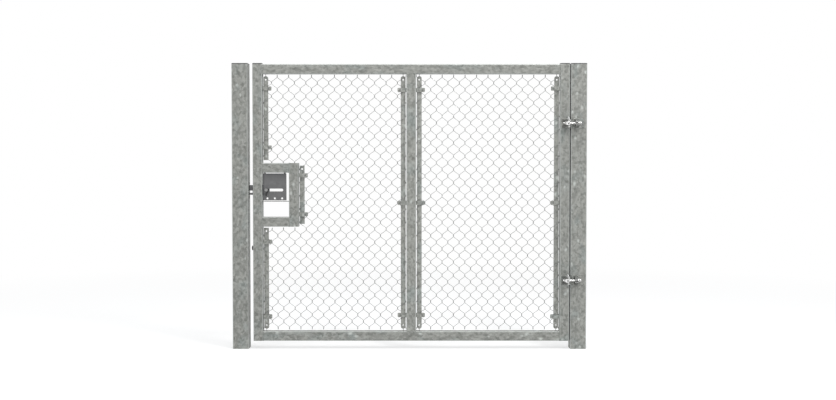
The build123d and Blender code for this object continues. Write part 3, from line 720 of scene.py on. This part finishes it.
bolt_dark_tone = (0.085, 0.086, 0.088)
dressed("bolt_bar", worn_steel("oiled_bolt_steel", bolt_dark_tone, (0.17, 0.17, 0.168), 0.4, 0.52))
knob_steel = worn_steel("rubbed_knob_steel", (0.27, 0.27, 0.267), (0.48, 0.48, 0.475), 0.6, 0.42)
dressed("bolt_knob", knob_steel)
knob_low, knob_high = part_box("bolt_knob")
knob_x, _, knob_z = middle("bolt_knob")
knob_radius = (knob_high.x - knob_low.x) / 2
knob_ribs, given = new_form("knob_ribs", ("Rim radius", "Rib length", "Rib radius", "Screw radius",
                                          "Screw height"), ("Ribs",))
rim = add_node(knob_ribs, "GeometryNodeMeshCircle", {
    "Vertices": given["Ribs"], "Radius": given["Rim radius"]})[0]
rib = drum(knob_ribs, 6, given["Rib radius"], given["Rib length"],
           calc(knob_ribs, "MULTIPLY", given["Rib length"], -1))
ribs = add_node(knob_ribs, "GeometryNodeInstanceOnPoints", {
    "Points": add_node(knob_ribs, "GeometryNodeMeshToPoints", {"Mesh": rim})[0], "Instance": rib})[0]
screw = drum(knob_ribs, 16, given["Screw radius"], given["Screw height"], 0.0,
             calc(knob_ribs, "MULTIPLY", given["Screw radius"], 0.7))
finish_form(knob_ribs, stood_on_points(knob_ribs, joined(knob_ribs, ribs, screw)), False)
grown("knob_ribs_and_screw", knob_ribs, knob_steel, "bolt", "stainless",
      {"Ribs": 26, "Rim radius": knob_radius - 0.0003, "Rib length": 0.0105, "Rib radius": 0.0007,
       "Screw radius": 0.0035, "Screw height": 0.0012},
      [(knob_x, knob_low.y + 0.0002, knob_z)], facing=[(0, -1, 0)])
# Painted shadow: a dark bent bar under the knob, standing for its shadow on the plate.
knob_shadow_steel = worn_steel("painted_knob_shadow", (0.040, 0.040, 0.041), (0.085, 0.084, 0.082), 0.4, 0.55)
knob_shadow_y = knob_low.y + 0.0098
knob_shadow_run = ([], [])
add_path(knob_shadow_run, [(knob_x + x, knob_shadow_y, knob_z + z) for x, z in (
    (0.002, -0.005), (0.0065, -0.011), (0.001, -0.022), (-0.002, -0.035))])
round_bar("knob_shadow_piece", knob_shadow_steel, "bolt", "stainless", knob_shadow_run, 0.0046, 0.002, 14)

# Keeper. A steel flange screwed to the latch post, with a notched ear that stands behind the
# thrown bolt, so that the leaf can't be pushed past its closed place.
keeper_low, keeper_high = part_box("keeper")
flange_x = keeper_low.x + 0.003
flange_y = keeper_low.y + 0.012
screw_inset = 0.011


def darker_on_ear(tree, axes, zinc):
    """Zinc like the post's on the flange, and the bolt's dark tone on the ear."""
    share = ranged(tree, axes["X"], flange_x - 0.0005, flange_x + 0.003, 0, 0.9)
    return mixed(tree, share, zinc, bolt_dark_tone)


dressed("keeper", zinc_coat("zinc_keeper", upright, (6.1, 4.2, 0.6), 0.95, 1.4, placed_tint=darker_on_ear))
grown("keeper_screws", hex_screw, screw_zinc, "posts", "galvanised",
      {"Across flats": 0.010, "Head height": 0.004, "Washer radius": 0.007, "Washer thickness": 0.001,
       "Shank radius": 0.003, "Shank length": 0.006},
      [(flange_x, flange_y, keeper_high.z - screw_inset), (flange_x, flange_y, keeper_low.z + screw_inset)],
      facing=[(1, 0, 0)] * 2)

# Buffer. A moulded rubber disc on the latch stile's outer side, held by a small plated screw
# through its middle. It quiets the leaf as it closes against the post.
dressed("rubber_buffer", moulded_black("buffer_rubber", (0.030, 0.030, 0.031), 0.62, 700.0))
grown("buffer_screw", hex_screw, screw_zinc, "leaf", "galvanised",
      {"Across flats": 0.007, "Head height": 0.002, "Washer radius": 0.0055, "Washer thickness": 0.0007,
       "Shank radius": 0.002, "Shank length": 0.008},
      [(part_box("rubber_buffer")[0].x + 0.0004, *middle("rubber_buffer")[1:])], facing=[(-1, 0, 0)])


# Hinges. Each has a threaded stainless rod with a swivel barrel, held by a pin and its wire clip
# between two lugs on the leaf, and laid in an open lug on the post, where nuts clamp it and set
# the gap. A weld bead runs round the plate of both brackets.
def lug_shade_and_highlight(plate_y, rod_z, highlight_from_x, highlight_half):
    """Painted light on one bracket: painted shade darkens the lug fronts, most near the rod, and a painted
    highlight lightens a band of the lug fronts along the rod.
    """
    def placed_tint(tree, axes, zinc):
        forward = calc(tree, "SUBTRACT", plate_y, axes["Y"])
        off_axis = calc(tree, "ABSOLUTE", calc(tree, "SUBTRACT", axes["Z"], rod_z))
        # Painted shade on the lug fronts, darkest near the rod's axis.
        painted_lug_shade = calc(tree, "MULTIPLY", ranged(tree, forward, 0.001, 0.006, 0, 1),
                     ranged(tree, off_axis, 0.011, 0.027, 0.82, 0.38))
        shaded_lugs = mixed(tree, painted_lug_shade, zinc, (0.070, 0.071, 0.068))
        # Painted highlight: a pale band across the lug fronts along the rod.
        past_start = ranged(tree, calc(tree, "SUBTRACT", axes["X"], highlight_from_x), -0.002, 0.002, 0, 1)
        on_lug = calc(tree, "MULTIPLY", past_start, ranged(tree, forward, 0.040, 0.046, 0, 1))
        rubbed_and_highlight = calc(tree, "MULTIPLY", on_lug,
                      ranged(tree, off_axis, highlight_half, highlight_half + 0.002, 0.85, 0))
        return mixed(tree, rubbed_and_highlight, shaded_lugs, (0.60, 0.605, 0.59))
    return placed_tint


def stainless(name, bright, stain_and_shade, roughness, metallic, barrel_x=None):
    """Bright stainless steel with fine turning marks and random stains; a painted top light makes up-facing
    faces bright and painted shade darkens the rest, less on the barrel.
    """
    metal, tree, on_part = new_finish(name)
    marks = noise(tree, on_part["Object"], 500.0, 3.0)
    stain = noise(tree, on_part["Object"], 110.0, 3.0)
    # Painted light: up-facing faces take the bright colour and lower ones the darker one, the boundary
    # moved by random stains; away from the barrel more of it is painted shade.
    up = axes_of(tree, on_part["Normal"])["Z"]
    level = calc(tree, "MULTIPLY_ADD", stain, -0.4, calc(tree, "ADD", up, 0.2))
    if barrel_x is not None:
        from_barrel = calc(tree, "SUBTRACT", axes_of(tree, on_part["Object"])["X"], barrel_x)
        off_barrel = ranged(tree, calc(tree, "ABSOLUTE", from_barrel), 0.0140, 0.0155, 0, 0.72)
        level = calc(tree, "SUBTRACT", level, off_barrel)
    painted_top_light = ranged(tree, level, -0.8, -0.1, 0, 1)
    shaded(tree, mixed(tree, painted_top_light, stain_and_shade, bright), metallic,
           ranged(tree, painted_top_light, 0, 1, roughness + 0.2, roughness), marks, 0.12, 0.0002)
    return metal


thread, given = new_form("screw_thread", ("Turns", "Core radius", "Thread length", "Ridge"))
helix = add_node(thread, "GeometryNodeCurveSpiral", {
    "Resolution": 20, "Rotations": given["Turns"], "Start Radius": given["Core radius"],
    "End Radius": given["Core radius"], "Height": given["Thread length"]})[0]
finish_form(thread, stood_on_points(thread, tube_along(thread, helix, 4, given["Ridge"])))

hinge_steel = stainless("hinge_stainless", (0.90, 0.90, 0.89), (0.40, 0.40, 0.39), 0.22, 0.85,
                        middle("upper_hinge_pin")[0])
clip_steel = stainless("bright_clip_wire", (0.92, 0.92, 0.91), (0.60, 0.60, 0.59), 0.3, 0.25)
pin_steel = bright_steel("hinge_pins", (0.36, 0.365, 0.36), 0.46)
barrel_radius = 0.014
rod_radius = 0.008
stub_radius = 0.006
thread_sunk = 0.0002
plate_thickness = 0.006
leaf_plate_width = 0.041
whole_lug_x = -0.5
clip_bends = ((-0.001, -0.0045, 0.0395), (0.0005, -0.0105, 0.0385),
              (0.0045, -0.0160, 0.0290), (0.0115, -0.0165, 0.0125))
rod_starts = []
stub_starts = []
grub_places = []
clip_run = ([], [])
bracket_welds = {"leaf": ([], []), "post": ([], [])}
for place in ("upper", "lower"):
    pin_x, pin_y, _ = middle(place + "_hinge_pin")
    rod_z = middle(place + "_hinge_rod")[2]
    dressed(place + "_hinge_rod", hinge_steel)
    dressed(place + "_hinge_pin", pin_steel)
    rod_starts.append((pin_x + barrel_radius, pin_y, rod_z))
    stub_starts.append((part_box(place + "_hinge_rod")[0].x + 0.0005, pin_y, rod_z))
    grub_places.append((pin_x, pin_y - barrel_radius + 0.0002, rod_z))
    add_path(clip_run, [(pin_x + x, pin_y + y, rod_z + z) for x, y, z in clip_bends])
    for side, shift, highlight_from_x, highlight_half in (("leaf", (1.7, 7.3, 3.9), pin_x, 0.030),
                                                ("post", (5.1, 2.3, 0.7), whole_lug_x, 0.0095)):
        bracket = place + "_hinge_" + side + "_bracket"
        placed_tint = lug_shade_and_highlight(leaf_front - plate_thickness, rod_z, highlight_from_x, highlight_half)
        coat_name = "zinc_" + side + "_bracket_" + place
        dressed(bracket, zinc_coat(coat_name, even_grain, shift, 0.98, 1.3, placed_tint=placed_tint))
        low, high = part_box(bracket)
        end_x = low.x + leaf_plate_width if side == "leaf" else high.x
        corners = ((low.x, low.z), (low.x, high.z), (end_x, high.z), (end_x, low.z))
        add_path(bracket_welds[side], [(x, leaf_front, z) for x, z in corners], closed=True)
grown("hinge_rod_threads", thread, hinge_steel, "posts", "stainless",
      {"Turns": 24.0, "Core radius": rod_radius - thread_sunk, "Thread length": 0.049, "Ridge": 0.0006},
      rod_starts, facing=[(1, 0, 0)] * 2)
grown("hinge_stub_threads", thread, hinge_steel, "posts", "stainless",
      {"Turns": 3.0, "Core radius": stub_radius - thread_sunk, "Thread length": 0.0055, "Ridge": 0.0005},
      stub_starts, facing=[(1, 0, 0)] * 2)
round_bar("hinge_pin_clips", clip_steel, "leaf", "stainless", clip_run, 0.0017, 0.002, 10)
welded("leaf_bracket_welds", "leaf", bracket_welds["leaf"], 0.0022)
welded("post_bracket_welds", "posts", bracket_welds["post"], 0.0022)

# Grub screws. A black steel screw with a hex socket stands in the front of each barrel, and is
# tightened on the rod once the gap is set. Its black spot also stands for the dark reflection in
# the barrel's middle, a painted reflection.
grub_screw, given = new_form("socket_screws", ("Screw radius", "Rim height", "Socket radius",
                                               "Shank length"))
outer = add_node(grub_screw, "GeometryNodeCurvePrimitiveCircle", {
    "Resolution": 20, "Radius": given["Screw radius"]})[0]
inner = add_node(grub_screw, "GeometryNodeCurvePrimitiveCircle", {
    "Resolution": 6, "Radius": given["Socket radius"]})[0]
face = add_node(grub_screw, "GeometryNodeFillCurve", {
    "Curve": joined(grub_screw, outer, inner)}, mode="TRIANGLES")[0]
collar = closed_plate(grub_screw, face, given["Rim height"])
shank = drum(grub_screw, 20, given["Screw radius"], given["Shank length"],
             calc(grub_screw, "MULTIPLY", given["Shank length"], -1))
finish_form(grub_screw, stood_on_points(grub_screw, joined(grub_screw, collar, shank)), False)
black_steel = worn_steel("black_socket_screws", (0.025, 0.025, 0.026), (0.07, 0.07, 0.07), 0.1, 0.6)
grown("barrel_grub_screws", grub_screw, black_steel, "posts", "stainless",
      {"Screw radius": 0.0056, "Rim height": 0.0008, "Socket radius": 0.0026, "Shank length": 0.003},
      grub_places, facing=[(0, -1, 0)] * 2)
